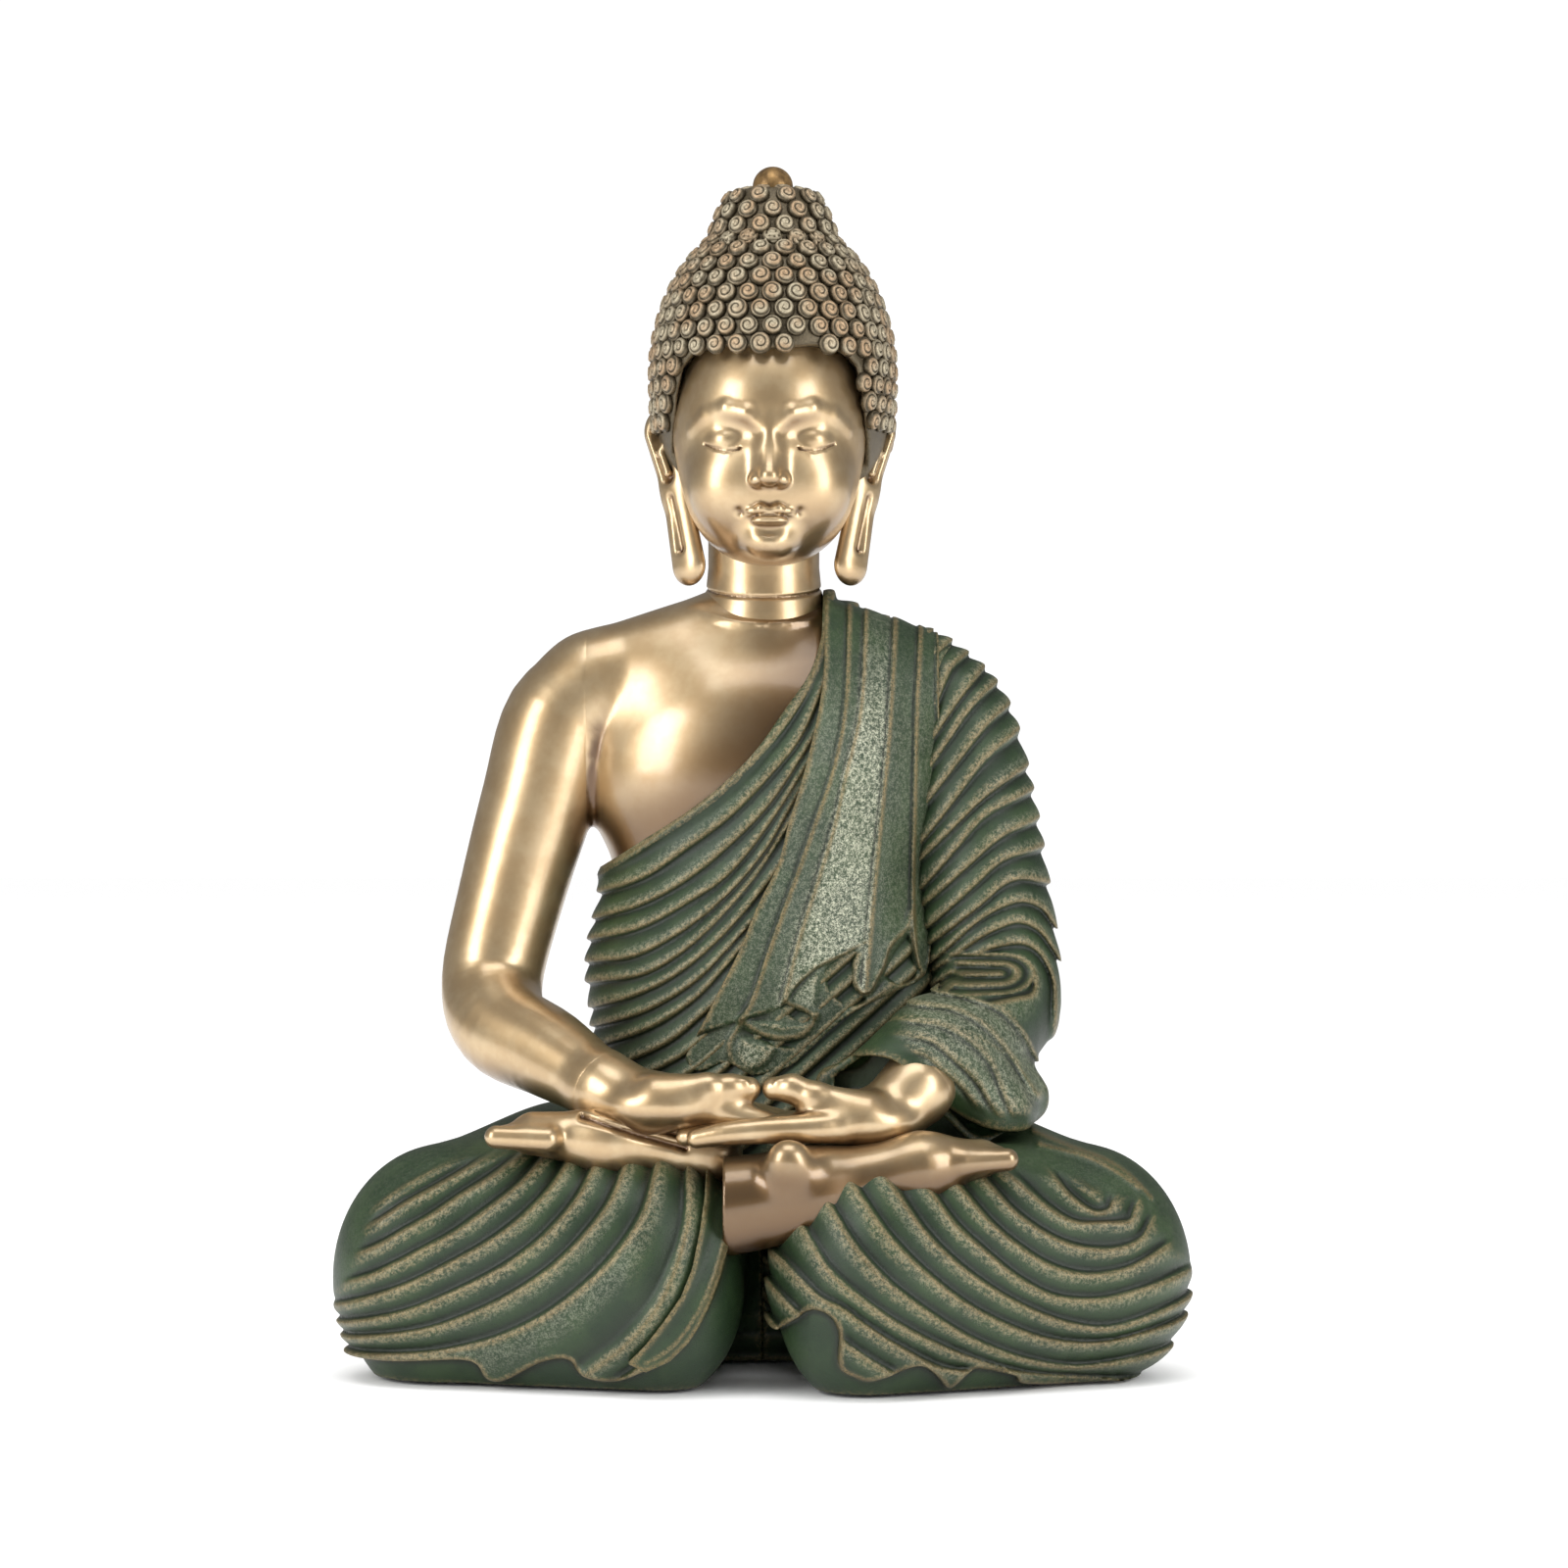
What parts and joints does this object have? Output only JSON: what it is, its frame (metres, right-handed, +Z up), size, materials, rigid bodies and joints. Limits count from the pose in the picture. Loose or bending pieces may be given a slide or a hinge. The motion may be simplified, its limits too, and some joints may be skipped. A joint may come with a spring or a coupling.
{
  "type": "buddha statue",
  "caption": "Seated meditating figure in the lotus pose, hands in the lap, pleated robe over the left shoulder, curled hair with topknot; hollow casting that stands on a flat base.",
  "frame": {"origin": "on the floor, under the middle of the figure's overall width and depth", "axes": "+Z up, the figure faces -Y, the figure's left hand side is +X"},
  "size_m": [0.2294, 0.1426, 0.33],
  "materials": {
    "skin": "satin champagne-gold metallic paint over cast stone-filled resin",
    "robe": "green wash with copper and pale gold dry-brushed ridges over cast stone-filled resin",
    "hair": "dark green-brown wash with copper and gold highlights over cast stone-filled resin",
    "cover": "matt dark board",
    "pads": "matt soft pad"
  },
  "bodies": {
    "root": {"right_leg_robe": "robe", "left_leg_robe": "robe", "robe_hem": "robe", "robe_torso": "robe", "robe_sash": "robe", "robe_sleeve": "robe", "sleeve_hem": "robe", "torso_folds": "robe", "sash_folds": "robe", "right_leg_folds": "robe", "left_leg_folds": "robe", "torso": "skin", "neck": "skin", "head": "skin", "right_ear": "skin", "left_ear": "skin", "right_arm": "skin", "right_hand": "skin", "left_forearm": "skin", "left_hand": "skin", "right_foot": "skin", "left_foot": "skin", "hair_cap": "hair", "hair_curls": "hair", "topknot": "hair", "topknot_curls": "hair", "crown_bead": "hair", "base_cover": "cover", "base_pads": "pads"}
  },
  "joints": []
}
